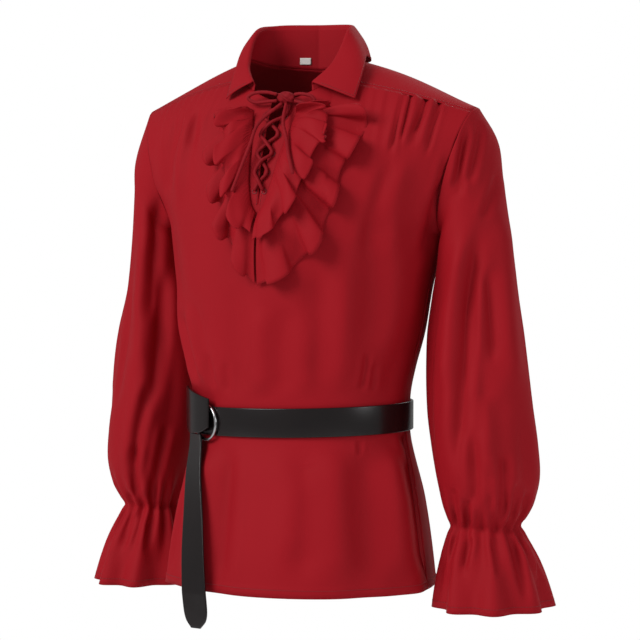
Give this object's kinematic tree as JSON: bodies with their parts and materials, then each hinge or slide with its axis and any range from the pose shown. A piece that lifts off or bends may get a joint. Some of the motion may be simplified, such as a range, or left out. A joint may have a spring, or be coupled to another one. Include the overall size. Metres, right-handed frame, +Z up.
{
  "type": "medieval shirt with belt",
  "caption": "Deep red full-sleeved medieval shirt with an open collar, laced slit, layered ruffles, frilled wrists and a black leather ring belt, filled out as worn.",
  "frame": {"origin": "middle of the neck at the height of the back neck seam, where the wearer's neck and shoulders hold the shirt up", "axes": "+Z up, the front faces -Y, the wearer's left is +X"},
  "size_m": [0.6673, 0.3011, 0.7891],
  "materials": {
    "red_cloth": "smooth woven viscose, soft sheen",
    "red_lace": "narrow sewn tube of the same cloth",
    "black_leather": "smooth, semi-gloss",
    "steel": "polished",
    "white_label": "woven satin"
  },
  "bodies": {
    "root": {"front": "red_cloth", "back": "red_cloth", "yoke": "red_cloth", "sleeve_left": "red_cloth", "sleeve_right": "red_cloth", "collar_stand": "red_cloth", "collar_leaf": "red_cloth", "ruffle_left_outer": "red_cloth", "ruffle_left_inner": "red_cloth", "ruffle_right_outer": "red_cloth", "ruffle_right_inner": "red_cloth", "lace_over": "red_lace", "lace_under": "red_lace", "lace_knot": "red_lace", "bow_loop_left": "red_lace", "bow_loop_right": "red_lace", "lace_end_left": "red_lace", "lace_end_right": "red_lace", "belt_strap": "black_leather", "belt_wrap": "black_leather", "belt_tail": "black_leather", "belt_ring": "steel", "size_label": "white_label"}
  },
  "joints": []
}
